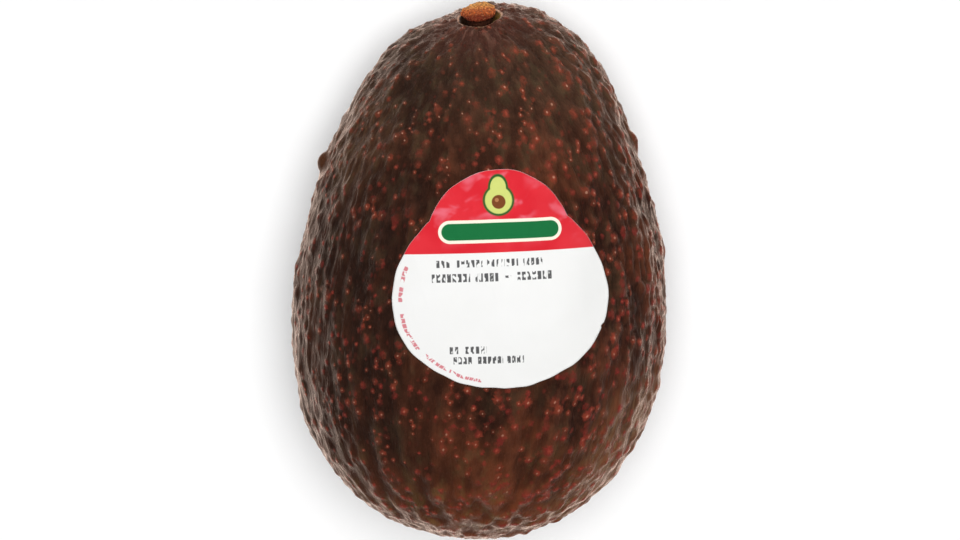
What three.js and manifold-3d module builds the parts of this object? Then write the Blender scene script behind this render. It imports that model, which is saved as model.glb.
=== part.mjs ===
// A ripe avocado lying on its side with a paper label on top.
// Millimetres, +Z up, stem end towards +Y, resting at z = 0 on a small flat spot.

import * as THREE from 'three';
import { mergeVertices } from 'three/addons/utils/BufferGeometryUtils.js';
import Module from 'manifold-3d';

// Fruit body. Angles on the skin are "slant" (0 at the stem end, pi at the blossom end)
// and "around" (0 at +X, a quarter turn at the top, half a turn at -X).
const FRUIT_LENGTH = 98.9;
const MID_WIDTH = 67.3; // across, halfway along
const DEPTH_RATIO = 0.97; // thickness from label to flat spot, over width
const TAPER = [-0.181, 0.062, 0.04, 0.088]; // first to fourth power terms that make the neck
const AXIS_BOW = 0.2; // how far both ends lean to -X
const SKIN_DETAIL = 17; // subdivisions of each icosahedron edge

// Lying pose: the stem end dips until the weight is over the flat spot.
const LYING_TILT = THREE.MathUtils.degToRad(8.6);
const FLAT_SPOT_DEPTH = 0.3;

// Shallow lobes of the skin: height, lobes around, waves along, phase.
const SWELLS = [
  [0.35, 3, 1.0, 0.4],
  [0.3, 5, -2.0, 2.1],
  [0.22, 8, 3.0, 4.0],
  [0.18, 13, 2.0, 1.2],
  [0.14, 17, -9.0, 5.1],
  [0.14, 11, 14.0, 2.7],
];
const SWELL_FREE_RADIUS = 9; // the skin is smooth this near the flat spot

// Local features: slant, around, height, reach.
const WART = { slant: 1.18, around: 3.12, height: 1.6, reach: 2.4 };
const SHOULDER_DIP = { slant: 0.3, around: 3.3, height: -1.2, reach: 8 };
const NECK_DIP = { slant: 0.95, around: 0.1, height: -0.8, reach: 14 };
const BLOSSOM_SCAR = { slant: Math.PI, around: 0, height: -0.7, reach: 2.8 };

// Stalk stub and the socket it sits in.
const STEM_SLANT = 0.238;
const STEM_AROUND = 1.96;
const CAP_RADIUS = 3.1;
const CAP_HEIGHT = 1.8; // above the rim of the socket
const NECK_RADIUS = 2.3;
const RIM_GAP = 0.9; // between cap and socket rim, all round
const SOCKET_DEPTH = 1.8;
const FIT_GAP = 0.3; // between pieces that touch
const SOCKET_RADIUS = CAP_RADIUS + RIM_GAP;
const STUB_SEGMENTS = 28;
const STUB_LUMP = 0.16;

// Label: round towards the stem, with a lobe on it, and flatter towards the blossom end.
const LABEL_SLANT = 1.537;
const LABEL_AROUND = 1.449;
const LABEL_TURN = THREE.MathUtils.degToRad(5);
const LABEL_RADIUS = 18.9;
const LABEL_FOOT = 14.8; // from its centre to the blossom side
const LOBE_RADIUS = 12.5;
const LOBE_RISE = 10.8;
const LABEL_THICKNESS = 0.3;
const LABEL_REACH = FRUIT_LENGTH / 7; // how deep the label's outline is pressed round the fruit

const SKIN = new THREE.MeshStandardMaterial({ color: 0x4a2e25, roughness: 0.45, metalness: 0 });
const CORK = new THREE.MeshStandardMaterial({ color: 0xb7653a, roughness: 0.85, metalness: 0 });
const PAPER = new THREE.MeshStandardMaterial({ color: 0xfcfbf9, roughness: 0.6, metalness: 0 });

const wasm = await Module();
wasm.setup();

function toSolid(geometry) {
  const bare = geometry.clone();
  bare.deleteAttribute('normal');
  bare.deleteAttribute('uv');
  const merged = mergeVertices(bare, 1e-4);
  const corners = merged.index.array;
  const kept = [];
  for (let i = 0; i < corners.length; i += 3) {
    const [a, b, c] = corners.slice(i, i + 3);
    if (a !== b && b !== c && c !== a) {
      kept.push(a, b, c);
    }
  }
  const vertProperties = new Float32Array(merged.attributes.position.array);
  const triVerts = new Uint32Array(kept);
  return new wasm.Manifold(new wasm.Mesh({ numProp: 3, vertProperties, triVerts }));
}

function toGeometry(solid) {
  const mesh = solid.getMesh();
  const geometry = new THREE.BufferGeometry();
  geometry.setAttribute('position', new THREE.BufferAttribute(mesh.vertProperties, 3));
  geometry.setIndex(new THREE.BufferAttribute(mesh.triVerts, 1));
  geometry.computeVertexNormals();
  return geometry;
}

// The smooth egg under all the relief, and its outward normal.
function eggPoint(slant, around) {
  const c = Math.cos(slant);
  const shape = TAPER.reduce((sum, term, power) => sum + term * c ** (power + 1), 1);
  const radius = 0.5 * MID_WIDTH * Math.sin(slant) * shape;
  return new THREE.Vector3(
    radius * Math.cos(around) - AXIS_BOW * c * c,
    0.5 * FRUIT_LENGTH * c,
    DEPTH_RATIO * radius * Math.sin(around),
  );
}

function eggNormal(slant, around) {
  const step = 0.002;
  const safe = THREE.MathUtils.clamp(slant, 3 * step, Math.PI - 3 * step);
  const along = eggPoint(safe + step, around).sub(eggPoint(safe - step, around));
  const across = eggPoint(safe, around + step).sub(eggPoint(safe, around - step));
  return across.cross(along).normalize();
}

// Direction, in the fruit's own frame, that ends up pointing straight down.
const DOWN = new THREE.Vector3(0, Math.sin(LYING_TILT), -Math.cos(LYING_TILT));

function lowestEggPoint() {
  let lowest = eggPoint(0, 0);
  for (let slant = 0; slant < Math.PI; slant += 0.01) {
    const candidate = eggPoint(slant, 1.5 * Math.PI);
    if (candidate.dot(DOWN) > lowest.dot(DOWN)) {
      lowest = candidate;
    }
  }
  return lowest;
}

const REST_POINT = lowestEggPoint();

function localRise(point, feature) {
  const centre = eggPoint(feature.slant, feature.around);
  return feature.height * Math.exp(-point.distanceToSquared(centre) / feature.reach ** 2);
}

function relief(slant, around, point) {
  let swell = 0;
  for (const [height, lobes, waves, phase] of SWELLS) {
    swell += height * Math.sin(lobes * around + phase) * Math.cos(waves * slant + 2 * phase);
  }
  const fade = 1 - Math.exp(-point.distanceToSquared(REST_POINT) / SWELL_FREE_RADIUS ** 2);
  const features = [WART, SHOULDER_DIP, NECK_DIP, BLOSSOM_SCAR];
  const local = features.reduce((sum, feature) => sum + localRise(point, feature), 0);
  return swell * Math.sin(slant) * fade + local;
}

// The real skin, lifted outwards by a given amount.
function skinPoint(slant, around, lift) {
  const point = eggPoint(slant, around);
  const height = relief(slant, around, point) + lift;
  return point.addScaledVector(eggNormal(slant, around), height);
}

function skinSolid(lift) {
  const ball = new THREE.IcosahedronGeometry(1, SKIN_DETAIL);
  const position = ball.attributes.position;
  const direction = new THREE.Vector3();
  for (let i = 0; i < position.count; i += 1) {
    direction.fromBufferAttribute(position, i).normalize();
    const slant = Math.acos(THREE.MathUtils.clamp(direction.y, -1, 1));
    const around = Math.atan2(direction.z, direction.x);
    position.setXYZ(i, ...skinPoint(slant, around, lift));
  }
  return toSolid(ball);
}

// Places a shape whose own +Y is the outward normal at a spot on the skin.
function standOn(geometry, slant, around, turn) {
  const normal = eggNormal(slant, around);
  const seat = skinPoint(slant, around, 0);
  const stemward = eggPoint(slant - 0.01, around).sub(eggPoint(slant, around));
  const side = new THREE.Vector3().crossVectors(stemward, normal).normalize();
  const forward = new THREE.Vector3().crossVectors(side, normal);
  const placing = new THREE.Matrix4().makeBasis(side, normal, forward);
  placing.setPosition(seat);
  return geometry.clone().rotateY(turn).applyMatrix4(placing);
}

function revolve(outline) {
  const profile = outline.map(([radius, height]) => new THREE.Vector2(radius, height));
  return new THREE.LatheGeometry(profile, STUB_SEGMENTS);
}

function socketCutter() {
  const floorRadius = NECK_RADIUS + 2 * FIT_GAP;
  const bowl = revolve([
    [0, -SOCKET_DEPTH],
    [floorRadius, -SOCKET_DEPTH],
    [0.5 * (floorRadius + SOCKET_RADIUS), -0.6 * SOCKET_DEPTH],
    [SOCKET_RADIUS, -0.1 * SOCKET_DEPTH],
    [SOCKET_RADIUS + RIM_GAP, SOCKET_DEPTH],
    [0, SOCKET_DEPTH],
  ]);
  return toSolid(standOn(bowl, STEM_SLANT, STEM_AROUND, 0));
}

// Everything below the resting plane, as a block in the fruit's own frame.
function groundCutter() {
  const block = new THREE.BoxGeometry(FRUIT_LENGTH, FRUIT_LENGTH, FRUIT_LENGTH);
  const restLevel = REST_POINT.dot(DOWN) - FLAT_SPOT_DEPTH;
  block.translate(0, 0, -0.5 * FRUIT_LENGTH - restLevel);
  block.rotateX(LYING_TILT);
  return toSolid(block);
}

function fruitBody() {
  const whole = skinSolid(0);
  return toGeometry(whole.subtract(socketCutter()).subtract(groundCutter()));
}

// The stub flares from a narrow neck into a lumpy cap.
function stubBody() {
  const foot = FIT_GAP - SOCKET_DEPTH;
  const waist = 0.15 * CAP_HEIGHT;
  const cap = new THREE.SplineCurve([
    new THREE.Vector2(0.93 * CAP_RADIUS, waist),
    new THREE.Vector2(CAP_RADIUS, 0.38 * CAP_HEIGHT),
    new THREE.Vector2(0.9 * CAP_RADIUS, 0.7 * CAP_HEIGHT),
    new THREE.Vector2(0.55 * CAP_RADIUS, 0.93 * CAP_HEIGHT),
    new THREE.Vector2(0, CAP_HEIGHT),
  ]);
  const dome = cap.getPoints(9).map((point) => [Math.max(point.x, 0), point.y]);
  const stub = revolve([[0, foot], [NECK_RADIUS, foot], [0.95 * NECK_RADIUS, 0], ...dome]);
  roughen(stub.attributes.position, waist);
  return toGeometry(toSolid(standOn(stub, STEM_SLANT, STEM_AROUND, 0)));
}

// Lumps on the cap only: they die away at the axis and below the cap.
function roughen(position, waist) {
  for (let i = 0; i < position.count; i += 1) {
    const [x, y, z] = [position.getX(i), position.getY(i), position.getZ(i)];
    const out = Math.hypot(x, z);
    const around = Math.atan2(z, x);
    const share = y >= waist ? out / CAP_RADIUS : 0;
    const lump = STUB_LUMP * share * (Math.sin(4 * around + 1) + Math.sin(7 * around + 3 * y));
    const grow = out > 0 ? 1 + lump / CAP_RADIUS : 1;
    position.setXYZ(i, x * grow, y + 0.8 * lump, z * grow);
  }
}

// Outline of the label: the round body, with the lobe where it stands proud of it.
function labelOutline() {
  const outline = new THREE.Shape();
  const steps = 72;
  for (let i = 0; i < steps; i += 1) {
    const angle = (2 * Math.PI * i) / steps;
    const [c, s] = [Math.cos(angle), Math.sin(angle)];
    const body = 1 / Math.hypot(c / LABEL_RADIUS, s / (s > 0 ? LABEL_RADIUS : LABEL_FOOT));
    const lobeHalf = LOBE_RADIUS ** 2 - (LOBE_RISE * c) ** 2;
    const lobe = lobeHalf > 0 ? LOBE_RISE * s + Math.sqrt(lobeHalf) : 0;
    const reach = Math.max(body, lobe);
    outline[i === 0 ? 'moveTo' : 'lineTo'](reach * c, reach * s);
  }
  outline.closePath();
  return outline;
}

function labelBody() {
  const depth = 2 * LABEL_REACH;
  const prism = new THREE.ExtrudeGeometry(labelOutline(), { depth, bevelEnabled: false });
  prism.translate(0, 0, -LABEL_REACH).rotateX(-0.5 * Math.PI);
  const window = toSolid(standOn(prism, LABEL_SLANT, LABEL_AROUND, LABEL_TURN));
  const outer = skinSolid(FIT_GAP + LABEL_THICKNESS).intersect(window);
  return toGeometry(outer.subtract(skinSolid(FIT_GAP)));
}

function piece(name, geometry, material) {
  const mesh = new THREE.Mesh(geometry, material);
  mesh.name = name;
  return mesh;
}

// The pieces share the fruit's own frame, which lies with its stem end dipped.
function avocado() {
  const lying = new THREE.Group();
  lying.rotation.x = -LYING_TILT;
  lying.add(piece('fruit', fruitBody(), SKIN));
  lying.add(piece('stem_stub', stubBody(), CORK));
  lying.add(piece('label', labelBody(), PAPER));
  const row = new THREE.Group();
  row.add(lying);
  row.updateMatrixWorld(true);
  const box = new THREE.Box3().setFromObject(row, true);
  row.position.set(-0.5 * (box.min.x + box.max.x), -0.5 * (box.min.y + box.max.y), -box.min.z);
  row.updateMatrixWorld(true);
  return row;
}

export default avocado();
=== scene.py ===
import itertools
import math

import bpy
import numpy as np
from mathutils import Matrix, Vector, noise
from mathutils.bvhtree import BVHTree


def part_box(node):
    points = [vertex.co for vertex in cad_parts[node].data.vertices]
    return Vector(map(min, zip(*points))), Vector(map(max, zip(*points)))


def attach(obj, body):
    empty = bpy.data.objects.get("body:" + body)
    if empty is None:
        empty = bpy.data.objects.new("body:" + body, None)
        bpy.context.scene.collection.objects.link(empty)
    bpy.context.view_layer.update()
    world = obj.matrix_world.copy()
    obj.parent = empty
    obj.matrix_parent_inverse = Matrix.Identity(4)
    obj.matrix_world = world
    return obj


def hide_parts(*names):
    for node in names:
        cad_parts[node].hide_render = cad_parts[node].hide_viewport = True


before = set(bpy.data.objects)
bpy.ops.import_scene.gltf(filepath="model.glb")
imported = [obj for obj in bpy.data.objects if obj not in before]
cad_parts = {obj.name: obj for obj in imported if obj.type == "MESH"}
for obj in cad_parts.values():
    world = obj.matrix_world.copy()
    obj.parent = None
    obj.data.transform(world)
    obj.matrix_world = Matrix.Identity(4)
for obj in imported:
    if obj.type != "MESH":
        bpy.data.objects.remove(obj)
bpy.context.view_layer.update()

MM = 0.001

# The fruit's own frame: y runs to the stem end, dipped by the lying tilt.
LYING_TILT = math.radians(8.6)
ALONG = np.array([0.0, math.cos(LYING_TILT), -math.sin(LYING_TILT)])
ACROSS = np.array([1.0, 0.0, 0.0])
UPWARD = np.array([0.0, math.sin(LYING_TILT), math.cos(LYING_TILT)])
OWN = np.array([ACROSS, ALONG, UPWARD])

HALF_LENGTH = 49.45
HALF_WIDTH = 33.65
DEPTH_RATIO = 0.97
FRUIT_LOW, FRUIT_HIGH = (np.array(corner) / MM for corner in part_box("fruit"))
CENTRE = 0.5 * (FRUIT_LOW + FRUIT_HIGH)

SKIN_GRID = 128  # quads along each side of the six patches that make the skin
SMOOTHING_ROUNDS = 40  # takes the facets off the CAD skin
STEM_CROWDING = 0.42  # how much closer together the grid's points are at the stem
STEM_CROWDING_REACH = 0.3  # radians

# The relief's features: the size of each in mm, twice across the grain and then along it,
# and its height in mm.
PEBBLE = ((1.9, 1.9, 3.2), 0.76)
GRIT = ((0.9, 0.9, 1.3), 0.16)
RIDGE = ((2.6, 2.6, 8.0), 0.28)
CREST = ((1.7, 1.7, 9.0), 0.52)
FOLD = ((2.3, 2.3, 15.0), 0.42)
SWELL = ((5.5, 5.5, 9.0), 0.18)
PATCH_SIZE = 14.0  # mm between knobbly and calmer patches

PORES = 2900
PORE_TRIES = 24000
PORE_SMALLEST = 0.34  # mm, radius
PORE_SPREAD = 0.54
PORE_GAP = 0.45
PORE_BATCH = 4000  # points compared with the pores at a time
KNOB_SHARE = 1.3

# Single marks on the skin, in the fruit's own frame (mm).
WART_TOWARDS = (-31.4, 19.7, -0.6)
WART_RADIUS = 2.6
WART_SUNK = 1.6
KNOB_PLACE = (-30.6, 15.9, 4.4)
KNOB_HEIGHT = 0.45
KNOB_REACH = 1.5
SCAR_PLACE = (0.3, -49.2, 0.2)
SCAR_DEPTH = 0.35
SCAR_REACH = 1.6

# Where the label sits and its outline, as in the CAD (millimetres and radians).
LABEL_SLANT = 1.537
LABEL_AROUND = 1.449
LABEL_TURN = math.radians(5)
LABEL_RADIUS = 18.9
LABEL_FOOT = 14.8
LOBE_RADIUS = 12.5
LOBE_RISE = 10.8
PRINT_LINE = 9.0  # the red print starts this far above the label's centre
PAPER_THICKNESS = 0.11
PAPER_LIFT = 0.36  # the paper's upper face above the smooth skin
PAPER_LEAST_LIFT = 0.24

SOCKET_RADIUS = 3.8
SOCKET_DEPTH = 1.8
STUB_FOOT = 1.5  # the stub's foot is this far below the socket's rim
STUB_TOP = 2.04
FAR = 40.0  # beyond this many mm from the stem, the distance no longer matters


# ---------------------------------------------------------------- small tools


def mesh_arrays(obj):
    """The vertices, in mm, and the triangles of a mesh object."""
    mesh = obj.data
    points = np.empty(len(mesh.vertices) * 3)
    mesh.vertices.foreach_get("co", points)
    mesh.calc_loop_triangles()
    triangles = np.empty(len(mesh.loop_triangles) * 3, dtype=np.int64)
    mesh.loop_triangles.foreach_get("vertices", triangles)
    return points.reshape(-1, 3) / MM, triangles.reshape(-1, 3)


def surface_tree(points, polygons):
    return BVHTree.FromPolygons([Vector(p) for p in points], polygons.tolist())


def vertex_normals(points, quads):
    diagonal_a = points[quads[:, 2]] - points[quads[:, 0]]
    diagonal_b = points[quads[:, 3]] - points[quads[:, 1]]
    face = np.cross(diagonal_a, diagonal_b)
    total = np.zeros_like(points)
    for corner in range(4):
        for axis in range(3):
            total[:, axis] += np.bincount(quads[:, corner], face[:, axis], len(points))
    return total / np.linalg.norm(total, axis=1, keepdims=True)


def smooth_values(values, quads, rounds):
    """Averages each vertex's value with its neighbours' along the quads' edges."""
    starts = np.concatenate([quads[:, i] for i in range(4)])
    ends = np.concatenate([quads[:, (i + 1) % 4] for i in range(4)])
    count = np.bincount(starts, minlength=len(values)) + np.bincount(ends, minlength=len(values))
    for _ in range(rounds):
        total = np.bincount(starts, values[ends], len(values))
        total += np.bincount(ends, values[starts], len(values))
        values = 0.5 * values + 0.5 * total / count
    return values


def smoothstep(low, high, x):
    t = np.clip((x - low) / (high - low), 0, 1)
    return t * t * (3 - 2 * t)


def noise_at(points, size, seed):
    """Perlin noise, about -1 to 1, whose features have the given size."""
    shift = Vector((17.3 * seed, 5.1 * seed, 9.7 * seed))
    return np.array([noise.noise(Vector(p) + shift) for p in points / np.array(size)])


def new_object(name, points, faces):
    mesh = bpy.data.meshes.new(name)
    mesh.from_pydata((points * MM).tolist(), [], [list(face) for face in faces])
    mesh.update()
    mesh.polygons.foreach_set("use_smooth", [True] * len(mesh.polygons))
    obj = bpy.data.objects.new(name, mesh)
    bpy.context.scene.collection.objects.link(obj)
    return obj


def add_value(obj, name, values):
    kind = "FLOAT_VECTOR" if values.ndim == 2 else "FLOAT"
    field = "vector" if values.ndim == 2 else "value"
    layer = obj.data.attributes.new(name, kind, "POINT")
    layer.data.foreach_set(field, values.astype(np.float32).ravel())


# ---------------------------------------------------------------- the skin


def cube_sphere(n):
    """Unit directions and outward quads of a sphere made of six grids."""
    t = np.tan(np.linspace(-1, 1, n + 1) * math.pi / 4)
    a, b = np.meshgrid(t, t, indexing="ij")
    points = []
    quads = []
    for axis in range(3):
        for sign in (1.0, -1.0):
            normal = np.zeros(3)
            normal[axis] = sign
            u = np.roll(np.abs(normal), 1)
            v = np.cross(normal, u)
            index = np.arange((n + 1) ** 2).reshape(n + 1, n + 1) + len(points) * (n + 1) ** 2
            patch = normal + a[..., None] * u + b[..., None] * v
            corners = [index[:-1, :-1], index[1:, :-1], index[1:, 1:], index[:-1, 1:]]
            points.append(patch.reshape(-1, 3))
            quads.append(np.stack(corners, axis=-1).reshape(-1, 4))
    points = np.concatenate(points)
    points /= np.linalg.norm(points, axis=1, keepdims=True)
    keys = np.round(points * 1e6).astype(np.int64)
    _, first, place = np.unique(keys, axis=0, return_index=True, return_inverse=True)
    return points[first], place.reshape(-1)[np.concatenate(quads)]


def crowd_towards(directions, pole, share, reach):
    """Draws directions towards a pole, so that the grid is finer there."""
    cosine = np.clip(directions @ pole, -1, 1)
    angle = np.arccos(cosine)
    nearer = angle * (1 - (1 - share) * np.exp(-((angle / reach) ** 2)))
    side = directions - cosine[:, None] * pole
    side /= np.maximum(np.linalg.norm(side, axis=1, keepdims=True), 1e-9)
    return np.cos(nearer)[:, None] * pole + np.sin(nearer)[:, None] * side


def stub_axis():
    """The stub's seat on the rim plane and its outward axis, from the CAD node."""
    points, _ = mesh_arrays(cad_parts["stem_stub"])
    middle = 0.5 * (points.min(axis=0) + points.max(axis=0))
    _, vectors = np.linalg.eigh(np.cov((points - middle).T))
    axis = vectors[:, 0] * np.sign(vectors[1, 0])
    foot = ((points - middle) @ axis).min()
    return middle + (foot + STUB_FOOT) * axis, axis


def own_coordinates(points):
    return (points - CENTRE) @ OWN.T


def grain_coordinates(own):
    """Millimetres across (twice) and along the grain, which gathers at the socket and the scar."""
    stem_own = (STEM_SEAT - CENTRE) @ OWN.T
    lean = smoothstep(14, 50, own[:, 1])
    x = own[:, 0] - stem_own[0] * lean
    z = own[:, 2] - stem_own[2] * lean
    radius = np.maximum(np.hypot(x, z), 0.4)
    angle = np.linspace(0, math.pi, 400)
    step = np.hypot(HALF_WIDTH * np.cos(angle), HALF_LENGTH * np.sin(angle))
    travelled = np.concatenate([[0], np.cumsum(0.5 * (step[1:] + step[:-1]) * np.diff(angle))])
    slant = np.arctan2(radius / HALF_WIDTH, own[:, 1] / HALF_LENGTH)
    girth = HALF_WIDTH * np.sqrt(radius / HALF_WIDTH)
    along = np.interp(slant, angle, travelled)
    return np.stack([girth * x / radius, girth * z / radius, along], axis=1)


def base_surface():
    """Points of the smooth skin with no socket, and its quads."""
    directions, quads = cube_sphere(SKIN_GRID)
    pole = STEM_SEAT - CENTRE
    pole /= np.linalg.norm(pole)
    directions = crowd_towards(directions, pole, STEM_CROWDING, STEM_CROWDING_REACH)
    cad_points, cad_triangles = mesh_arrays(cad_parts["fruit"])
    tree = surface_tree(cad_points, cad_triangles)
    centre = Vector(CENTRE)
    hits = [tree.ray_cast(centre, Vector(d))[0] for d in directions]
    points = np.array(hits)
    reach = np.linalg.norm(points - CENTRE, axis=1)
    sideways = points - STEM_SEAT
    sideways -= (sideways @ STEM_AXIS)[:, None] * STEM_AXIS
    off_axis = np.linalg.norm(sideways, axis=1)
    near = (off_axis < SOCKET_RADIUS + 5.7) & (points[:, 1] > CENTRE[1])
    pit = near & (off_axis < SOCKET_RADIUS + 1.6)
    ring = near & ~pit
    terms = patch_terms(directions)
    fit = np.linalg.lstsq(terms[ring], reach[ring], rcond=None)[0]
    reach[pit] = terms[pit] @ fit
    reach = smooth_values(reach, quads, SMOOTHING_ROUNDS)
    return CENTRE + directions * reach[:, None], quads


def patch_terms(directions):
    """Terms of a quadratic in the two directions across the stem axis."""
    side = np.cross(STEM_AXIS, ACROSS)
    side /= np.linalg.norm(side)
    p = directions @ np.cross(side, STEM_AXIS)
    q = directions @ side
    return np.stack([np.ones_like(p), p, q, p * p, p * q, q * q], axis=1)


def label_axes(tree, points, normals):
    """The label's seat, its right, its stemward direction and its normal."""
    own = np.array(
        [
            HALF_WIDTH * math.sin(LABEL_SLANT) * math.cos(LABEL_AROUND),
            HALF_LENGTH * math.cos(LABEL_SLANT),
            DEPTH_RATIO * HALF_WIDTH * math.sin(LABEL_SLANT) * math.sin(LABEL_AROUND),
        ]
    )
    seat, _, _, _ = tree.ray_cast(Vector(CENTRE), Vector(own @ OWN))
    seat = np.array(seat)
    close = np.linalg.norm(points - seat, axis=1) < 6
    normal = normals[close].mean(axis=0)
    normal /= np.linalg.norm(normal)
    right = np.cross(ALONG, normal)
    right /= np.linalg.norm(right)
    stemward = np.cross(normal, right)
    turned_right = math.cos(LABEL_TURN) * right + math.sin(LABEL_TURN) * stemward
    return seat, turned_right, np.cross(normal, turned_right), normal


def label_reach(angle):
    """Distance from the label's centre to its edge."""
    c = np.cos(angle)
    s = np.sin(angle)
    body = 1 / np.hypot(c / LABEL_RADIUS, s / np.where(s > 0, LABEL_RADIUS, LABEL_FOOT))
    half = LOBE_RADIUS**2 - (LOBE_RISE * c) ** 2
    lobe = np.where(half > 0, LOBE_RISE * s + np.sqrt(np.maximum(half, 0)), 0)
    edge = np.maximum(body, lobe)
    from_nick = (angle + 0.274 + math.pi) % (2 * math.pi) - math.pi
    nick = 0.3 * np.exp(-(from_nick / 0.016) ** 2)
    wave = 0.07 * np.sin(9 * angle + 1) + 0.05 * np.sin(23 * angle)
    return edge + wave - nick


def rounded(value, softness):
    """Absolute value with its sharp valley rounded off."""
    return np.sqrt(value**2 + softness**2) - softness


def relief_height(grain, own, off_axis):
    """Relief in mm: rounded pebbles with valleys between them, and ridges along the grain."""
    (pebble_size, pebble_height), (grit_size, grit_height) = PEBBLE, GRIT
    (ridge_size, ridge_height), (crest_size, crest_height) = RIDGE, CREST
    (fold_size, fold_height), (swell_size, swell_height) = FOLD, SWELL
    pebble = rounded(noise_at(grain, pebble_size, 1), 0.16)
    grit = rounded(noise_at(grain, grit_size, 2), 0.12)
    ridge = noise_at(grain, ridge_size, 3)
    crest = rounded(noise_at(grain, crest_size, 6), 0.1)
    fold = noise_at(grain, fold_size, 7)
    swell = noise_at(grain, swell_size, 4)
    patchy = 0.8 + 0.5 * noise_at(own, PATCH_SIZE, 5)
    by_stem = smoothstep(20, 8, off_axis)
    by_scar = smoothstep(2, -28, own[:, 1] - 0.15 * own[:, 0])
    by_flank = smoothstep(-6, -30, own[:, 0])
    calmer = (1 - 0.45 * by_stem) * (1 - 0.68 * by_scar) * (1 - 0.58 * by_flank)
    pebbles = patchy * calmer * (pebble_height * pebble + grit_height * grit)
    crests = crest_height * crest * (1 - 0.5 * by_scar)
    lines = (1 + 0.25 * by_stem) * (ridge_height * ridge + crests)
    level = 0.1 * by_scar - 0.28
    return pebbles + lines + fold_height * by_scar * fold + swell_height * swell + level


def scatter_pores(points, normals, quads, grain, own):
    """Places, radii and axes of the breathing pores, in drifts and in rows along the grain."""
    rng = np.random.default_rng(20)
    diagonal_a = points[quads[:, 2]] - points[quads[:, 0]]
    diagonal_b = points[quads[:, 3]] - points[quads[:, 1]]
    quad_area = 0.5 * np.linalg.norm(np.cross(diagonal_a, diagonal_b), axis=1)
    area = np.bincount(quads[:, 0], quad_area, len(points))
    drift = smoothstep(-0.35, 0.35, noise_at(grain, (5.0, 5.0, 9.0), 31))
    rows = smoothstep(-0.1, 0.3, noise_at(grain, (1.5, 1.5, 11.0), 32))
    odds = area * (0.4 + drift) * (0.25 + rows)
    tries = rng.choice(len(points), PORE_TRIES, p=odds / odds.sum())
    sizes = PORE_SMALLEST + PORE_SPREAD * rng.beta(1.3, 3.0, len(tries))
    sizes = sizes * (1 + 0.34 * smoothstep(-12, 14, own[tries, 0]))
    next_door = list(itertools.product((-1, 0, 1), repeat=3))
    taken = {}
    chosen = []
    for vertex, size in zip(tries, sizes):
        place = points[vertex]
        cell = tuple(np.floor(place / 2.5).astype(int))
        around = [(cell[0] + i, cell[1] + j, cell[2] + k) for i, j, k in next_door]
        near = [other for key in around for other in taken.get(key, [])]
        crowded = any(
            np.linalg.norm(place - spot) <= 0.62 * (size + reach) + PORE_GAP for spot, reach in near
        )
        if not crowded:
            taken.setdefault(cell, []).append((place, size))
            chosen.append((vertex, size))
        if len(chosen) >= PORES:
            break
    index = np.array([vertex for vertex, _ in chosen])
    size = np.array([reach for _, reach in chosen])
    normal = normals[index]
    along = points[index] - STEM_SEAT
    along -= np.sum(along * normal, axis=1, keepdims=True) * normal
    along /= np.linalg.norm(along, axis=1, keepdims=True)
    across = np.cross(normal, along)
    stretch = 1.0 + 0.45 * rng.beta(1.5, 2.5, len(index))
    return {
        "centre": points[index],
        "across": across / size[:, None],
        "along": along / (size * stretch)[:, None],
        "size": size,
    }


def pore_fields(points, pores):
    """Distance to the nearest pore, in pore radii, and the height of the knobs under the pores."""
    nearest_pore = np.empty(len(points))
    knob = np.empty(len(points))
    for start in range(0, len(points), PORE_BATCH):
        batch = slice(start, start + PORE_BATCH)
        part = points[batch]
        gap = part[:, None, :] - pores["centre"][None, :, :]
        squared = np.einsum("ijk,ijk->ij", gap, gap)
        nearest = np.argpartition(squared, 6, axis=1)[:, :6]
        row = np.arange(len(part))[:, None]
        close = gap[row, nearest]
        u = np.einsum("ijk,ijk->ij", close, pores["across"][nearest])
        v = np.einsum("ijk,ijk->ij", close, pores["along"][nearest])
        nearest_pore[batch] = np.hypot(u, v).min(axis=1)
        size = pores["size"][nearest]
        distance = np.sqrt(squared[row, nearest])
        hills = (0.12 + 0.5 * (size - 0.3)) * np.exp(-((distance / (1.25 * size + 0.5)) ** 2))
        knob[batch] = hills.max(axis=1)
    return nearest_pore, knob


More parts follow.
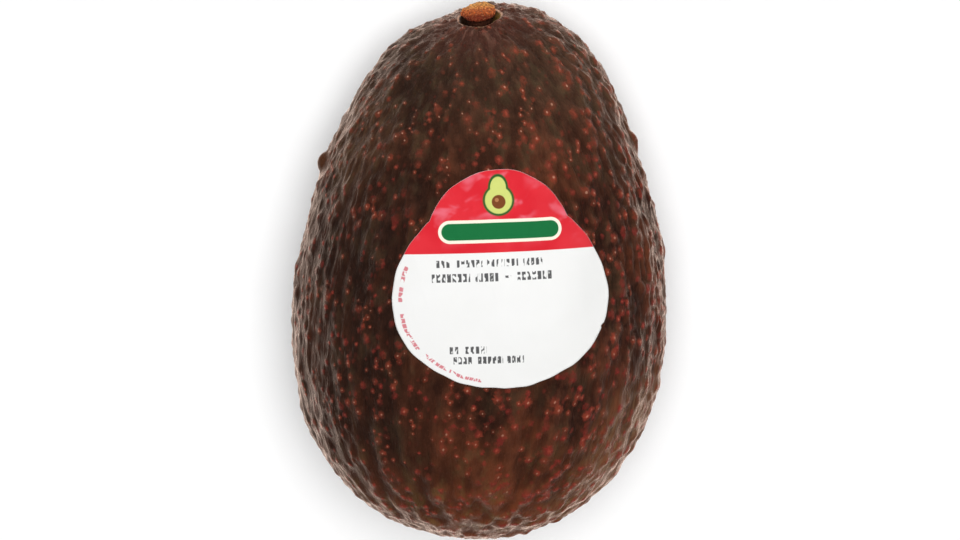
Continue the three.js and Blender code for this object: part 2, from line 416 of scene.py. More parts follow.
def build_skin():
    points, quads = base_surface()
    normals = vertex_normals(points, quads)
    tree = surface_tree(points, quads)
    seat, right, stemward, facing = label_axes(tree, points, normals)
    own = own_coordinates(points)
    grain = grain_coordinates(own)
    pores = scatter_pores(points, normals, quads, grain, own)
    nearest_pore, knobs = pore_fields(points, pores)
    flat = points - seat
    above = flat @ facing
    label_x, label_y = flat @ right, flat @ stemward
    edge = label_reach(np.arctan2(label_y, label_x))
    outside = smoothstep(-1.2, 0.9, np.hypot(label_x, label_y) - edge)
    outside = np.where(above > -14, outside, 1.0)

    away = points - STEM_SEAT
    rise = away @ STEM_AXIS
    sideways = away - rise[:, None] * STEM_AXIS
    off_axis = np.linalg.norm(sideways, axis=1)
    turn = np.arctan2(sideways @ np.cross(STEM_AXIS, ACROSS), sideways @ ACROSS)
    stem_end = points[:, 1] > CENTRE[1]
    rim_wobble = 1 + 0.035 * np.sin(3 * turn + 0.6) + 0.025 * np.sin(5 * turn + 2)
    ring = np.where(stem_end, off_axis / rim_wobble, 99.0)
    calm = smoothstep(SOCKET_RADIUS, SOCKET_RADIUS + 2.6, ring)
    relief = relief_height(grain, own, ring) + KNOB_SHARE * knobs
    bottom = smoothstep(2, 14, np.hypot(points[:, 0], points[:, 1] + 3) + 3 * points[:, 2])

    wart_gap, wart = own_ball(own, WART_TOWARDS, WART_RADIUS, WART_SUNK)
    knob = own_rise(own, KNOB_PLACE, KNOB_HEIGHT, KNOB_REACH)
    scar = own_rise(own, SCAR_PLACE, -SCAR_DEPTH, SCAR_REACH)
    smooth_wart = 1 - 0.8 * np.exp(-((wart_gap / 4.4) ** 2))
    height = relief * (0.12 + 0.88 * outside) * (0.35 + 0.65 * calm)
    height *= (0.3 + 0.7 * bottom) * smooth_wart
    height += wart + knob + scar
    points = points + normals * height[:, None]

    pit = -SOCKET_DEPTH * (1 - smoothstep(SOCKET_RADIUS - 1.3, SOCKET_RADIUS + 0.05, ring))
    lip = 0.16 * np.exp(-(((ring - SOCKET_RADIUS - 0.2) / 0.32) ** 2))
    collar = 0.3 * np.exp(-(((ring - SOCKET_RADIUS - 1.6) / 1.5) ** 2))
    points = points + STEM_AXIS * (pit + lip + collar)[:, None]
    points[:, 2] = np.maximum(points[:, 2], 0.0)

    skin = new_object("avocado_skin", points, quads)
    add_value(skin, "grain", grain)
    add_value(skin, "relief", relief * outside * calm)
    ring = np.minimum(ring, FAR)
    add_value(skin, "stem_ring", ring)
    add_value(skin, "stem_turn", np.stack([np.cos(turn), np.sin(turn), 0.15 * ring], axis=1))
    add_value(skin, "own", own)
    add_value(skin, "pore", np.minimum(nearest_pore, 3.0))
    add_value(skin, "wart", np.exp(-((wart_gap / 4.0) ** 2)))
    return skin, tree, (seat, right, stemward, facing)


def own_rise(own, centre, height, reach):
    """A round bump on the skin near a place in the fruit's own frame."""
    gap = np.linalg.norm(own - np.array(centre), axis=1)
    return height * np.exp(-((gap / reach) ** 2.4))


def own_ball(own, towards, radius, depth):
    """Part of a ball that stands out of the skin, with a soft foot."""
    centre = own[np.argmax(own @ np.array(towards) / np.linalg.norm(own, axis=1))]
    gap = np.linalg.norm(own - centre, axis=1)
    cap = np.sqrt(np.maximum(radius**2 - gap**2, 0)) - depth
    return gap, 0.5 * (cap + np.sqrt(cap**2 + 0.03)) - 0.5 * np.exp(-((gap / 3.6) ** 2.4))


# ---------------------------------------------------------------- the stub


def build_stub():
    """The corky stalk stub: a narrow neck under a lumpy, granular cap."""
    side = np.cross(STEM_AXIS, ACROSS)
    side /= np.linalg.norm(side)
    other = np.cross(side, STEM_AXIS)
    outline = [
        (0.0, -STUB_FOOT), (1.6, -STUB_FOOT), (2.25, -1.42), (2.3, -1.0), (2.12, -0.3),
        (2.2, 0.08), (2.62, 0.2), (2.98, 0.42), (3.1, 0.75), (2.98, 1.1),
        (2.6, 1.42), (2.05, 1.7), (1.3, 1.92), (0.6, 2.02), (0.0, STUB_TOP),
    ]
    steps = [math.dist(a, b) for a, b in zip(outline, outline[1:])]
    travelled = np.concatenate([[0], np.cumsum(steps)])
    rows = np.linspace(0, travelled[-1], 78)[1:-1]
    radius = np.interp(rows, travelled, [p[0] for p in outline])
    height = np.interp(rows, travelled, [p[1] for p in outline])
    for _ in range(3):
        radius[1:-1] = 0.25 * radius[:-2] + 0.5 * radius[1:-1] + 0.25 * radius[2:]
        height[1:-1] = 0.25 * height[:-2] + 0.5 * height[1:-1] + 0.25 * height[2:]
    columns = 132
    angle = np.linspace(0, 2 * math.pi, columns, endpoint=False)
    r, a = np.meshgrid(radius, angle, indexing="ij")
    h, _ = np.meshgrid(height, angle, indexing="ij")
    local = np.stack([r * np.cos(a), h, r * np.sin(a)], axis=-1).reshape(-1, 3)
    local = np.concatenate([local, [[0, -STUB_FOOT, 0], [0, STUB_TOP, 0]]])
    lump = noise_at(local, 1.9, 11)
    grain = np.abs(noise_at(local, 0.42, 12))
    pores = noise_at(local, 0.8, 13)
    cap = smoothstep(-0.1, 0.35, local[:, 1])
    outward = local / np.array([1.0, 1.6, 1.0]) + np.array([0, 0.3, 0])
    outward /= np.linalg.norm(outward, axis=1, keepdims=True)
    swell = cap * (0.42 * lump + 0.3 * grain + 0.16 * pores - 0.12) + (1 - cap) * 0.1 * grain
    local = local + outward * swell[:, None]
    index = np.arange(len(rows) * columns).reshape(len(rows), columns)
    faces = []
    after = np.roll(index, -1, axis=1)
    for i in range(len(rows) - 1):
        for j in range(columns):
            faces.append((index[i, j], index[i + 1, j], after[i + 1, j], after[i, j]))
    bottom, top = len(local) - 2, len(local) - 1
    faces += [(bottom, index[0, j], after[0, j]) for j in range(columns)]
    faces += [(top, after[-1, j], index[-1, j]) for j in range(columns)]
    placed = STEM_SEAT + local[:, :1] * other + local[:, 1:2] * STEM_AXIS + local[:, 2:] * side
    stub = new_object("stalk_stub", placed, faces)
    add_value(stub, "grit", grain)
    add_value(stub, "cap_height", local[:, 1])
    add_value(stub, "cap_side", local[:, 2])
    return stub


# ---------------------------------------------------------------- the label


def build_label(tree, axes):
    """A thin sheet that follows the skin, with creases in the lobe and slightly lifted edges."""
    seat, right, stemward, facing = axes
    rings, spokes = 70, 360
    angle = np.linspace(0, 2 * math.pi, spokes, endpoint=False)
    share = np.linspace(0, 1, rings + 1)[1:] ** 0.85
    edge = label_reach(angle)
    x = np.concatenate([[0.0], (share[:, None] * edge * np.cos(angle)).ravel()])
    y = np.concatenate([[0.0], (share[:, None] * edge * np.sin(angle)).ravel()])
    inset = np.concatenate([[20.0], ((1 - share[:, None]) * edge).ravel()])
    plane = seat + x[:, None] * right + y[:, None] * stemward
    down = Vector(-facing)
    ground = []
    normals = []
    for point in plane + 12 * facing:
        place, normal, _, _ = tree.ray_cast(Vector(point), down)
        ground.append(place)
        normals.append(normal)
    ground = np.array(ground)
    normals = np.array(normals)
    flat = np.stack([x, y, np.zeros_like(x)], axis=1)
    crease = np.abs(noise_at(flat, (2.6, 4.2, 1.0), 21))
    soft = noise_at(flat, 6.0, 22)
    in_lobe = smoothstep(9, 17, y)
    at_side = smoothstep(9, 17, np.abs(x))
    ripple = (0.05 + 0.2 * in_lobe + 0.05 * at_side) * (0.35 - crease) + 0.06 * soft
    lifted = 0.1 * np.exp(-inset / 0.9) * (0.6 + 0.8 * soft)
    lift = PAPER_LIFT + ripple + lifted
    top = ground + normals * np.maximum(lift, PAPER_LEAST_LIFT)[:, None]
    under = top - normals * PAPER_THICKNESS
    count = len(top)
    index = 1 + np.arange(rings * spokes).reshape(rings, spokes)
    after = np.roll(index, -1, axis=1)
    faces = [(0, index[0, j], after[0, j]) for j in range(spokes)]
    for near, near_next, far, far_next in zip(index[:-1], after[:-1], index[1:], after[1:]):
        faces += list(zip(near, far, far_next, near_next))
    back = [tuple(count + k for k in reversed(face)) for face in faces]
    hem = list(zip(index[-1], index[-1] + count, after[-1] + count, after[-1]))
    label = new_object("paper_label", np.concatenate([top, under]), faces + back + hem)
    add_value(label, "print_xy", np.concatenate([flat, flat]))
    edge_share = np.concatenate([[0], np.repeat(share, spokes)])
    add_value(label, "edge_share", np.concatenate([edge_share, edge_share]))
    return label


# ---------------------------------------------------------------- shader sums


class Graph:
    """Builds shader nodes from plain sums."""

    def __init__(self, name):
        self.material = bpy.data.materials.new(name)
        self.material.use_nodes = True
        self.tree = self.material.node_tree
        self.tree.nodes.clear()

    def node(self, kind, **settings):
        made = self.tree.nodes.new(kind)
        for key, value in settings.items():
            setattr(made, key, value)
        return made

    def put(self, value, socket):
        if isinstance(value, Sum):
            self.tree.links.new(value.socket, socket)
        elif isinstance(value, tuple) and len(value) == 3 and socket.type == "RGBA":
            socket.default_value = (*value, 1.0)
        else:
            socket.default_value = value

    def math(self, operation, *values, clamp=False):
        made = self.node("ShaderNodeMath", operation=operation, use_clamp=clamp)
        for value, socket in zip(values, made.inputs):
            self.put(value, socket)
        return Sum(self, made.outputs[0])

    def attribute(self, name, vector=False):
        made = self.node("ShaderNodeAttribute", attribute_name=name)
        return Sum(self, made.outputs["Vector" if vector else "Fac"])

    def split(self, vector):
        made = self.node("ShaderNodeSeparateXYZ")
        self.put(vector, made.inputs[0])
        return [Sum(self, output) for output in made.outputs]

    def stretch(self, vector, scale, shift=(0.0, 0.0, 0.0)):
        made = self.node("ShaderNodeVectorMath", operation="MULTIPLY_ADD")
        self.put(vector, made.inputs[0])
        made.inputs[1].default_value = scale if isinstance(scale, tuple) else (scale,) * 3
        made.inputs[2].default_value = shift
        return Sum(self, made.outputs[0])

    def step(self, low, high, x):
        """0 at the first value, 1 at the second, and smooth between them."""
        made = self.node("ShaderNodeMapRange", interpolation_type="SMOOTHSTEP")
        self.put(x, made.inputs["Value"])
        self.put(low, made.inputs["From Min"])
        self.put(high, made.inputs["From Max"])
        return Sum(self, made.outputs["Result"])

    def near(self, place, centre, radius, core):
        """1 within the core of a ball, fading to 0 at its radius."""
        made = self.node("ShaderNodeVectorMath", operation="DISTANCE")
        self.put(place, made.inputs[0])
        made.inputs[1].default_value = centre
        return self.step(radius, core, Sum(self, made.outputs["Value"]))

    def noise(self, place, scale, shift=(0.0, 0.0, 0.0), detail=2.0, rough=0.5, distortion=0.0):
        """Soft clouds, 0 to 1. The scale is in features for each mm."""
        made = self.node("ShaderNodeTexNoise")
        self.put(self.stretch(place, scale, shift), made.inputs["Vector"])
        made.inputs["Scale"].default_value = 1.0
        made.inputs["Detail"].default_value = detail
        made.inputs["Roughness"].default_value = rough
        made.inputs["Distortion"].default_value = distortion
        return Sum(self, made.outputs["Fac"])

    def cells(self, vector):
        """The distance to the nearest cell's seed, and three random values for each cell."""
        made = self.node("ShaderNodeTexVoronoi")
        self.put(vector, made.inputs["Vector"])
        made.inputs["Scale"].default_value = 1.0
        made.inputs["Randomness"].default_value = 1.0
        picks = self.node("ShaderNodeSeparateColor")
        self.tree.links.new(made.outputs["Color"], picks.inputs[0])
        return Sum(self, made.outputs["Distance"]), [Sum(self, output) for output in picks.outputs]

    def mix(self, share, first, second):
        made = self.node("ShaderNodeMix", data_type="RGBA")
        self.put(share, made.inputs[0])
        self.put(first, made.inputs[6])
        self.put(second, made.inputs[7])
        return Sum(self, made.outputs[2])

    def bump(self, height):
        """A normal bent by a height in mm."""
        made = self.node("ShaderNodeBump")
        made.inputs["Strength"].default_value = 1.0
        made.inputs["Distance"].default_value = MM
        self.put(height, made.inputs["Height"])
        return Sum(self, made.outputs[0])

    def finish(self, color, roughness, normal=None, **constants):
        shader = self.node("ShaderNodeBsdfPrincipled")
        self.put(color, shader.inputs["Base Color"])
        self.put(roughness, shader.inputs["Roughness"])
        if normal is not None:
            self.put(normal, shader.inputs["Normal"])
        for name, value in constants.items():
            socket = shader.inputs[name.replace("_", " ")]
            socket.default_value = (*value, 1.0) if isinstance(value, tuple) else value
        output = self.node("ShaderNodeOutputMaterial")
        self.tree.links.new(shader.outputs[0], output.inputs[0])
        return self.material


class Sum:
    """A value in a Graph that can be added, multiplied and so on."""

    def __init__(self, graph, socket):
        self.graph = graph
        self.socket = socket

    def __add__(self, other):
        return self.graph.math("ADD", self, other)

    __radd__ = __add__

    def __sub__(self, other):
        return self.graph.math("SUBTRACT", self, other)

    def __rsub__(self, other):
        return self.graph.math("SUBTRACT", other, self)

    def __mul__(self, other):
        return self.graph.math("MULTIPLY", self, other)

    __rmul__ = __mul__

    def __truediv__(self, other):
        return self.graph.math("DIVIDE", self, other)


def rgb(red, green, blue):
    """A colour as a screen shows it, 0 to 255, in linear light."""
    levels = [value / 255 for value in (red, green, blue)]
    return tuple(v / 12.92 if v <= 0.04045 else ((v + 0.055) / 1.055) ** 2.4 for v in levels)


# ---------------------------------------------------------------- materials

SKIN = {
    "shade": rgb(48, 27, 21),
    "umber": rgb(72, 42, 31),
    "dull flank shade": rgb(37, 24, 19),
    "dull flank umber": rgb(50, 32, 25),
    "blossom brown": rgb(118, 63, 38),
    "stem brown": rgb(84, 61, 46),
    "olive": rgb(77, 62, 44),
    "blossom olive": rgb(114, 82, 46),
    "valley shade": rgb(30, 18, 14),
    "crest": rgb(104, 54, 38),
    "fleck": rgb(100, 56, 42),
    "stem red": rgb(100, 54, 46),
    "strand and sheen": rgb(122, 90, 64),
    "red pore": rgb(114, 38, 35),
    "brown pore": rgb(126, 56, 40),
    "stem pore": rgb(122, 60, 42),
    "blossom pore": rgb(130, 46, 36),
    "pore highlight": rgb(166, 74, 56),
    "pore glint": rgb(204, 154, 128),
    "freckle": rgb(112, 44, 36),
    "wart": rgb(92, 54, 32),
    "stem ridge sheen": rgb(140, 98, 84),
    "socket": rgb(30, 18, 14),
    "socket shade brown": rgb(62, 38, 24),
    "lit socket wall": rgb(128, 98, 44),
    "lip": rgb(188, 146, 122),
    "wax": rgb(255, 238, 226),
}
CORK = {
    "low": rgb(122, 50, 32),
    "middle": rgb(208, 104, 50),
    "high": rgb(250, 180, 98),
    "grain": rgb(238, 160, 98),
    "gap": rgb(92, 36, 20),
    "speck": rgb(246, 190, 132),
    "crack": rgb(84, 34, 20),
    "foot": rgb(44, 25, 18),
}
PAPER = {
    "grey white": rgb(236, 236, 234),
    "white": rgb(240, 240, 239),
    "red": rgb(214, 38, 50),
    "light red": rgb(222, 50, 60),
    "crease": rgb(236, 128, 146),
    "cream": rgb(246, 240, 222),
    "green": rgb(28, 112, 62),
    "peel": rgb(44, 92, 44),
    "flesh": rgb(206, 214, 120),
    "stone": rgb(122, 70, 38),
    "glint": rgb(176, 120, 78),
    "ink": rgb(38, 38, 42),
    "red ink": rgb(206, 78, 96),
    "cut edge": rgb(240, 236, 232),
}
# A halved fruit, in ellipses on the label: middle, half width and half height in mm, and colour.
HALVED_FRUIT = (
    (0.0, 18.0, 2.75, 2.75, "peel"),
    (0.0, 20.2, 1.75, 2.35, "peel"),
    (0.0, 18.0, 2.35, 2.35, "flesh"),
    (0.0, 20.1, 1.38, 1.95, "flesh"),
    (0.0, 17.7, 1.2, 1.2, "stone"),
    (-0.3, 18.05, 0.35, 0.35, "glint"),
)
# Small print: left, right, middle height, height, pitch of the marks (all in mm) and share inked.
SMALL_PRINT = (
    (-11.2, -8.6, 7.2, 1.25, 0.86, 0.62),
    (-7.6, -3.2, 7.2, 1.25, 0.86, 0.66),
    (-2.4, 2.9, 7.2, 1.25, 0.86, 0.6),
    (3.8, 7.2, 7.2, 1.25, 0.86, 0.64),
    (-12.0, -5.4, 4.75, 1.45, 0.92, 0.72),
    (-4.5, -0.6, 4.75, 1.45, 0.92, 0.72),
    (0.5, 1.6, 4.75, 0.4, 2.0, 0.98),
    (2.7, 8.9, 4.75, 1.45, 0.92, 0.72),
    (-9.6, -7.7, -7.9, 1.25, 0.9, 0.62),
    (-6.8, -3.0, -7.9, 1.25, 0.9, 0.62),
    (-8.8, -5.4, -9.7, 1.25, 0.84, 0.72),
    (-4.7, -0.2, -9.7, 1.25, 0.84, 0.72),
    (0.5, 3.4, -9.7, 1.25, 0.84, 0.72),
)
CURVED_PRINT = ((2.74, 2.9), (2.95, 3.1), (3.22, 3.62), (3.7, 4.42))  # radians round the label
CURVED_PRINT_SHARE = 0.925  # of the way from the label's middle to its edge
PRINT_WEIGHT = 0.17
PRINT_SOFTNESS = 0.06


def skin_material():
    g = Graph("avocado_skin")
    grain = g.attribute("grain", vector=True)
    relief = g.attribute("relief")
    ring = g.attribute("stem_ring")
    own = g.attribute("own", vector=True)
    around = g.attribute("stem_turn", vector=True)
    turn = g.split(around)
    own_x, own_y, _ = g.split(own)
    wart = g.attribute("wart")

    # Ground colour: near-black brown with olive and red-brown clouds, redder at the blossom end.
    broad = g.noise(own, (0.07, 0.05, 0.07), detail=3.0, rough=0.55)
    streaks = g.noise(grain, (0.42, 0.42, 0.1), (5.0, 1.0, 3.0), 3.0, 0.6)
    mottle = g.noise(grain, (0.62, 0.62, 0.4), (2.0, 9.0, 4.0), 3.0, 0.6)
    fine = g.noise(own, 2.1, rough=0.6)
    stemward = g.step(14.0, 40.0, own_y)
    blossom = g.step(-19.0, -43.0, own_y - 0.2 * own_x)
    ends = g.math("MAXIMUM", stemward * 0.85, blossom)
    dull_flank = g.step(16.0, -24.0, own_x - 0.1 * own_y)  # one flank is darker and duller
    warm = g.step(0.42, 0.68, broad) * 0.36 + ends * 0.6 + g.step(0.45, 0.7, streaks) * 0.2
    warm = g.math("MULTIPLY", warm, 1.0 - 0.62 * dull_flank, clamp=True)
    mottled = g.step(0.4, 0.62, mottle)
    dark = g.mix(mottled, SKIN["shade"], SKIN["umber"])
    dark = g.mix(dull_flank, dark, g.mix(mottled, SKIN["dull flank shade"], SKIN["dull flank umber"]))
    brown = g.mix(stemward, SKIN["blossom brown"], SKIN["stem brown"])
    color = g.mix(warm, dark, brown)
    olive = g.step(0.49, 0.67, g.noise(grain, (0.3, 0.3, 0.17), (1.0, 4.0, 8.0), 3.0, 0.55))
    green = g.mix(blossom, SKIN["olive"], SKIN["blossom olive"])
    color = g.mix(olive * (0.35 + 0.4 * ends), color, green)
    # Painted shade: darker in the valleys of the relief.
    color = g.mix(g.step(0.35, -0.25, relief) * 0.5, color, SKIN["valley shade"])
    # Painted highlight: lighter red-brown on the crests of the relief.
    color = g.mix(g.step(0.1, 0.6, relief) * (0.3 - 0.18 * dull_flank), color, SKIN["crest"])
    color = g.mix(g.step(0.56, 0.78, fine) * 0.2, color, SKIN["fleck"])
    color = g.mix(g.step(15.0, 5.0, ring) * 0.3, color, SKIN["stem red"])

    # Paler strands on two shoulders: partly the skin's own paler colour, partly a painted sheen.
    strands = g.step(0.42, 0.62, g.noise(grain, (1.3, 1.3, 0.12), (6.0, 1.0, 2.0), rough=0.6))
    pale_and_sheen_patch = g.near(own, (27.0, -27.0, 9.0), 19.0, 5.0)
    pale_and_sheen_patch = pale_and_sheen_patch + 0.3 * g.near(own, (-24.0, 26.0, 10.0), 14.0, 5.0)
    pale_and_sheen_patch = pale_and_sheen_patch + 0.7 * g.near(own, (17.0, -38.0, 12.0), 13.0, 3.0)
    pale_and_sheen_patch = g.math("MINIMUM", pale_and_sheen_patch, 1.0)
    color = g.mix(pale_and_sheen_patch * (0.2 + 0.6 * strands), color, SKIN["strand and sheen"])

    # Pores: reddish domes, some with a painted highlight in the centre and a pale painted glint at
    # the tip, and fainter freckles between them.
    pore = g.attribute("pore")
    ragged = g.noise(own, 2.1, (2.0, 7.0, 1.0), rough=0.6)
    one = g.noise(own, 0.3, (7.0, 1.0, 5.0), detail=1.0)
    two = g.noise(own, 0.5, (1.0, 8.0, 2.0), detail=1.0)
    rim = pore + (ragged - 0.5) * 1.3
    bright = (0.22 + 0.68 * g.step(0.34, 0.64, two)) * (1.0 - 0.3 * dull_flank) * (1.0 - 0.8 * wart)
    hue = g.mix(g.step(0.35, 0.65, one), SKIN["red pore"], SKIN["brown pore"])
    hue = g.mix(stemward * 0.8, hue, SKIN["stem pore"])
    hue = g.mix(blossom * 0.8, hue, SKIN["blossom pore"])
    color = g.mix(g.step(1.2, 0.7, rim) * bright, color, hue)
    # Painted highlight: a lighter red centre on some domes.
    core = g.step(0.62, 0.2, rim) * g.step(0.4, 0.66, two)
    color = g.mix(core * bright * 0.6, color, SKIN["pore highlight"])
    # Painted glint: a pale speck at the tip of some domes.
    tip_glint = g.step(0.34, 0.14, pore) * g.step(0.46, 0.6, one) * (1.0 - wart)
    color = g.mix(tip_glint * (0.45 + 0.3 * stemward), color, SKIN["pore glint"])
    distance, picks = g.cells(g.stretch(grain, (0.62, 0.62, 0.5), (4.0, 2.0, 6.0)))
    freckle = g.step(0.34, 0.1, distance) * g.step(0.3, 0.7, picks[0])
    color = g.mix(freckle * (0.4 - 0.22 * dull_flank), color, SKIN["freckle"])
    color = g.mix(wart * (0.35 + 0.4 * fine), color, SKIN["wart"])
    dome = g.step(1.2, 0.3, rim) * 0.07

    # Fine lines run into the socket: ridges in the bump, with a painted sheen on them.
    lines = g.noise(around, (5.5, 5.5, 1.6), rough=0.6, distortion=0.5)
    near_stem = g.step(12.0, 5.0, ring)
    color = g.mix(near_stem * g.step(0.52, 0.68, lines) * 0.35, color, SKIN["stem ridge sheen"])

    # The socket: painted shade inside it, a thin pale lip, and a yellowish painted lit patch on one
    # side of it.
    wander = g.noise(own, 0.9) * 0.5 - 0.25
    # Painted shade: the inside of the socket is dark.
    pit_shade = g.step(SOCKET_RADIUS + 0.25, SOCKET_RADIUS - 0.1, ring + wander)
    # Painted light: a yellowish lit patch on one side of the socket's wall.
    patch = g.step(0.1, 0.8, turn[0] * 0.75 - turn[1] * 0.66)
    floor = g.mix(g.noise(own, 1.6), SKIN["socket"], SKIN["socket shade brown"])
    floor = g.mix(patch * g.step(1.9, 3.4, ring), floor, SKIN["lit socket wall"])
    color = g.mix(pit_shade, color, floor)
    from_lip = g.math("ABSOLUTE", ring - (SOCKET_RADIUS + 0.1) + wander * 0.4)
    broken = g.step(0.36, 0.56, g.noise(own, 0.7, (3.0, 0.0, 0.0)))
    flanks = g.step(0.25, 0.85, g.math("ABSOLUTE", turn[0]))
    lip = g.step(0.26, 0.06, from_lip) * (0.12 + 0.35 * broken + 0.5 * flanks * broken)
    color = g.mix(lip, color, SKIN["lip"])

    # Waxy: it shines only at a slant.
    waxy = g.step(0.42, 0.6, g.noise(grain, (1.1, 1.1, 0.16), (9.0, 2.0, 3.0)))
    rough = 0.17 + 0.2 * waxy + 0.07 * mottle
    tooth = g.noise(own, 5.0, detail=3.0, rough=0.65) * 0.035
    wrinkle = g.noise(grain, (1.5, 1.5, 0.4), (3.0, 3.0, 3.0), 3.0, 0.6)
    wrinkle = wrinkle * (0.23 - 0.04 * blossom)
    normal = g.bump(dome + wrinkle + tooth + near_stem * lines * 0.35)
    return g.finish(
        color, rough, normal, Specular_IOR_Level=0.14, Specular_Tint=SKIN["wax"]
    )


def cork_material():
    g = Graph("stem_cork")
    place = g.node("ShaderNodeTexCoord")
    own = g.stretch(Sum(g, place.outputs["Object"]), 1 / MM)
    height = g.attribute("cap_height")
    grit = g.attribute("grit")
    distance, picks = g.cells(g.stretch(own, 2.6))
    cloud = g.noise(own, 0.8, detail=3.0, rough=0.6)
    specks = g.noise(own, 4.5, rough=0.6)
    # The cap is paler higher up, its own colour, and paler towards one side, a painted light.
    cork_tone_and_light = 0.45 * height + 0.36 * g.attribute("cap_side") + 0.9 * cloud
    color = g.mix(g.step(-0.1, 0.75, cork_tone_and_light), CORK["low"], CORK["middle"])
    color = g.mix(g.step(0.75, 1.6, cork_tone_and_light), color, CORK["high"])
    grains = g.step(0.5, 0.95, picks[0]) * g.step(0.3, 1.4, cork_tone_and_light)
    color = g.mix(grains * 0.5, color, CORK["grain"])
    color = g.mix(g.step(0.3, 0.75, distance) * 0.6, color, CORK["gap"])
    color = g.mix(g.step(0.56, 0.72, specks) * 0.4, color, CORK["speck"])
    color = g.mix(g.step(0.2, 0.03, grit) * 0.6, color, CORK["crack"])
    # Painted shade: the neck under the cap is dark.
    color = g.mix(g.step(0.55, 0.05, height) * 0.95, color, CORK["foot"])
    bumps = g.step(0.75, 0.1, distance) * 0.16 + specks * 0.09
    return g.finish(color, 0.72 + 0.2 * specks, g.bump(bumps), Specular_IOR_Level=0.3)


def bar(g, x, y, left, right, middle, height):
    """1 inside a plain bar, 0 outside it."""
    soft = 0.05
    across = g.step(left - soft, left + soft, x) * g.step(right + soft, right - soft, x)
    from_middle = g.math("ABSOLUTE", y - middle)
    return across * g.step(0.5 * height + soft, 0.5 * height - soft, from_middle)


def scribble(g, x, flat, pitch, share):
    """Broken curls in a row, which stand for small print without being letters."""
    phase = g.math("ABSOLUTE", g.math("FRACT", x / pitch) - 0.5)
    curl = g.math("ABSOLUTE", g.noise(flat, (1.5, 0.95, 1.0), (3.0, 8.0, 0.0), detail=0.0) - 0.5)
    inked = g.step(0.5 * share + PRINT_SOFTNESS, 0.5 * share - PRINT_SOFTNESS, phase)
    return inked * g.step(PRINT_WEIGHT, 0.6 * PRINT_WEIGHT, curl)


def capsule(g, x, y, left, right, middle, radius):
    """1 inside a bar with round ends."""
    dx = x - g.math("MINIMUM", g.math("MAXIMUM", x, left + radius), right - radius)
    dy = y - middle
    distance = g.math("SQRT", dx * dx + dy * dy)
    return g.step(radius + PRINT_SOFTNESS, radius - PRINT_SOFTNESS, distance)


def ellipse(g, x, y, cx, cy, rx, ry):
    """1 inside an ellipse."""
    dx = (x - cx) / rx
    dy = (y - cy) / ry
    distance = g.math("SQRT", dx * dx + dy * dy)
    return g.step(1 + PRINT_SOFTNESS, 1 - PRINT_SOFTNESS, distance)


def label_material():
    g = Graph("label_paper")
    flat = g.attribute("print_xy", vector=True)
    x, y, _ = g.split(flat)
    share = g.attribute("edge_share")
    fibre = g.noise(flat, (3.0, 3.0, 1.0), detail=3.0, rough=0.6)
    tone = g.noise(flat, (0.16, 0.16, 1.0))
    white = g.mix(tone, PAPER["grey white"], PAPER["white"])
    red = g.mix(g.step(0.3, 0.7, tone), PAPER["red"], PAPER["light red"])
    # Painted glare: pale pink patches on the creases in the red lobe.
    crinkle = g.noise(flat, (0.2, 0.28, 1.0), (2.0, 5.0, 0.0), rough=0.55, distortion=0.6)
    crease_glare = g.step(0.48, 0.66, crinkle) * g.step(9.0, 15.0, y)
    red = g.mix(crease_glare * 0.6, red, PAPER["crease"])
    color = g.mix(g.step(PRINT_LINE - PRINT_SOFTNESS, PRINT_LINE + PRINT_SOFTNESS, y), white, red)

    # A plain rounded band with a cream rim, and a halved fruit above it.
    color = g.mix(capsule(g, x, y, -10.6, 10.8, 12.7, 2.0), color, PAPER["cream"])
    color = g.mix(capsule(g, x, y, -10.05, 10.25, 12.7, 1.45), color, PAPER["green"])
    for cx, cy, rx, ry, paint in HALVED_FRUIT:
        color = g.mix(ellipse(g, x, y, cx, cy, rx, ry), color, PAPER[paint])

    # Small print in groups, made of curls that are no letters.
    ink = 0.0
    for left, right, middle, height, pitch, fill in SMALL_PRINT:
        curls = scribble(g, x + 50.0, flat, pitch, fill)
        ink = g.math("MAXIMUM", ink, bar(g, x, y, left, right, middle, height) * curls)
    color = g.mix(ink * 0.9, color, PAPER["ink"])

    # The same along the lower left edge, in red.
    angle = g.math("ARCTAN2", y, x)
    around = g.math("FLOORED_MODULO", angle + 2 * math.pi, 2 * math.pi)
    curve = g.step(0.022, 0.014, g.math("ABSOLUTE", share - CURVED_PRINT_SHARE))
    words = 0.0
    for start, end in CURVED_PRINT:
        starts = g.step(start - 0.005, start + 0.005, around)
        words = starts * g.step(end + 0.005, end - 0.005, around) + words
    marks = curve * words * scribble(g, around * 18.0 + 3.0, flat, 0.95, 0.85)
    color = g.mix(marks * 0.8, color, PAPER["red ink"])

    # The cut edge is bare paper.
    color = g.mix(g.step(0.996, 1.0, share) * 0.6, color, PAPER["cut edge"])
    return g.finish(color, 0.38 + 0.14 * fibre, g.bump(fibre * 0.012), Specular_IOR_Level=0.4)


def backdrop_material():
    g = Graph("studio_floor")
    place = g.node("ShaderNodeTexCoord")
    speck = g.noise(Sum(g, place.outputs["Object"]), 60.0, detail=3.0)
    color = g.mix(speck, rgb(250, 250, 250), rgb(253, 253, 253))
    return g.finish(color, 0.85, Specular_IOR_Level=0.1)


# ---------------------------------------------------------------- the studio


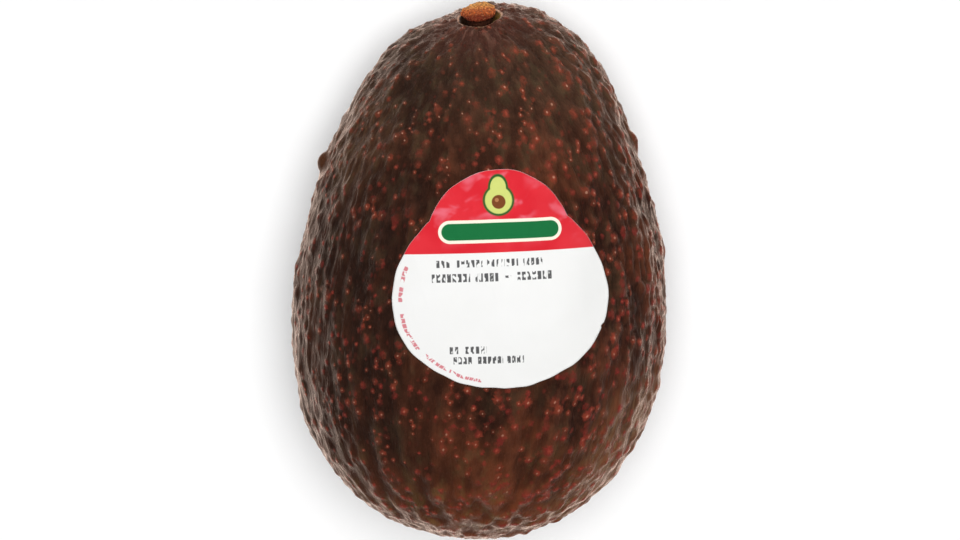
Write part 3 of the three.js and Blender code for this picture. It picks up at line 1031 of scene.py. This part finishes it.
def build_backdrop():
    """A round floor that curves up into a low wall all round."""
    columns = 96
    flat, bend, wall = 1.3, 0.3, 0.42  # metres: the flat floor, the curve and the wall's top
    turns = np.linspace(0.1, math.pi / 2, 12)
    profile = [(0.0, 0.0), (0.3, 0.0), (0.8, 0.0), (flat, 0.0)]
    profile += [(flat + bend * math.sin(t), bend - bend * math.cos(t)) for t in turns]
    profile += [(flat + bend, wall)]
    points = [(0.0, 0.0, 0.0)]
    for radius, height in profile[1:]:
        for j in range(columns):
            angle = 2 * math.pi * j / columns
            points.append((radius * math.cos(angle), radius * math.sin(angle), height))
    faces = [(0, 1 + j, 1 + (j + 1) % columns) for j in range(columns)]
    for i in range(len(profile) - 2):
        low, high = 1 + i * columns, 1 + (i + 1) * columns
        for j in range(columns):
            k = (j + 1) % columns
            faces.append((low + j, high + j, high + k, low + k))
    backdrop = new_object("studio_floor", np.array(points) / MM, faces)
    backdrop.location.z = -0.0001
    backdrop.data.materials.append(backdrop_material())
    backdrop.visible_glossy = False


def build_world():
    """A dim room, bright under the floor, which shows only in the skin's slanting reflections."""
    world = bpy.data.worlds.new("studio_light")
    world.use_nodes = True
    tree = world.node_tree
    tree.nodes.clear()
    place = tree.nodes.new("ShaderNodeTexCoord")
    below = tree.nodes.new("ShaderNodeVectorMath")
    ramp = tree.nodes.new("ShaderNodeValToRGB")
    shine = tree.nodes.new("ShaderNodeBackground")
    output = tree.nodes.new("ShaderNodeOutputWorld")
    below.operation = "DOT_PRODUCT"
    below.inputs[1].default_value = (-0.1, -0.2, -0.975)  # a little to the left and the front
    ramp.color_ramp.elements[0].position = 0.42
    ramp.color_ramp.elements[0].color = (0.02, 0.02, 0.02, 1.0)
    ramp.color_ramp.elements[1].position = 0.84
    ramp.color_ramp.elements[1].color = (1.0, 0.76, 0.64, 1.0)
    shine.inputs["Strength"].default_value = 2.7
    tree.links.new(place.outputs["Generated"], below.inputs[0])
    tree.links.new(below.outputs["Value"], ramp.inputs[0])
    tree.links.new(ramp.outputs[0], shine.inputs["Color"])
    tree.links.new(shine.outputs[0], output.inputs[0])
    bpy.context.scene.world = world


def soft_sun(name, towards, power, spread):
    """A broad, even light from one direction. Its spread is in degrees."""
    data = bpy.data.lights.new(name, "SUN")
    data.energy = power
    data.angle = math.radians(spread)
    light = bpy.data.objects.new(name, data)
    bpy.context.scene.collection.objects.link(light)
    light.rotation_euler = Vector(towards).to_track_quat("Z", "Y").to_euler()
    light.visible_glossy = False


def build_camera():
    """Looks down on the fruit and leans towards its stem end."""
    lean = math.radians(20.6)
    roll = math.radians(3.58)
    look = np.array([0.0, math.sin(lean), math.cos(lean)])
    level = np.array([0.0, math.cos(lean), -math.sin(lean)])
    right = np.array([math.cos(roll), 0, 0]) + math.sin(roll) * level
    up = np.array([-math.sin(roll), 0, 0]) + math.cos(roll) * level
    height, aside, distance = 0.0335, -0.00037, 0.6576  # metres
    place = np.array([0.0, 0.0, height]) + aside * right + distance * look
    data = bpy.data.cameras.new("camera")
    data.lens = 135
    data.sensor_width = 36
    data.clip_start = 0.01
    camera = bpy.data.objects.new("camera", data)
    bpy.context.scene.collection.objects.link(camera)
    rows = [[right[i], up[i], look[i], place[i]] for i in range(3)] + [[0, 0, 0, 1]]
    camera.matrix_world = Matrix(rows)
    bpy.context.scene.camera = camera


# ---------------------------------------------------------------- assembly


STEM_SEAT, STEM_AXIS = stub_axis()
skin, skin_tree, label_place = build_skin()
stub = build_stub()
label = build_label(skin_tree, label_place)

for piece, node, material, slot in (
    (skin, "fruit", skin_material(), "skin"),
    (stub, "stem_stub", cork_material(), "stem_cork"),
    (label, "label", label_material(), "label_paper"),
):
    piece.data.materials.append(material)
    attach(piece, "root")
    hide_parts(node)

build_backdrop()
build_world()
soft_sun("front_light", towards=(0.03, 0.352, 0.936), power=3.3, spread=28)
build_camera()
bpy.context.scene.view_settings.view_transform = "Standard"
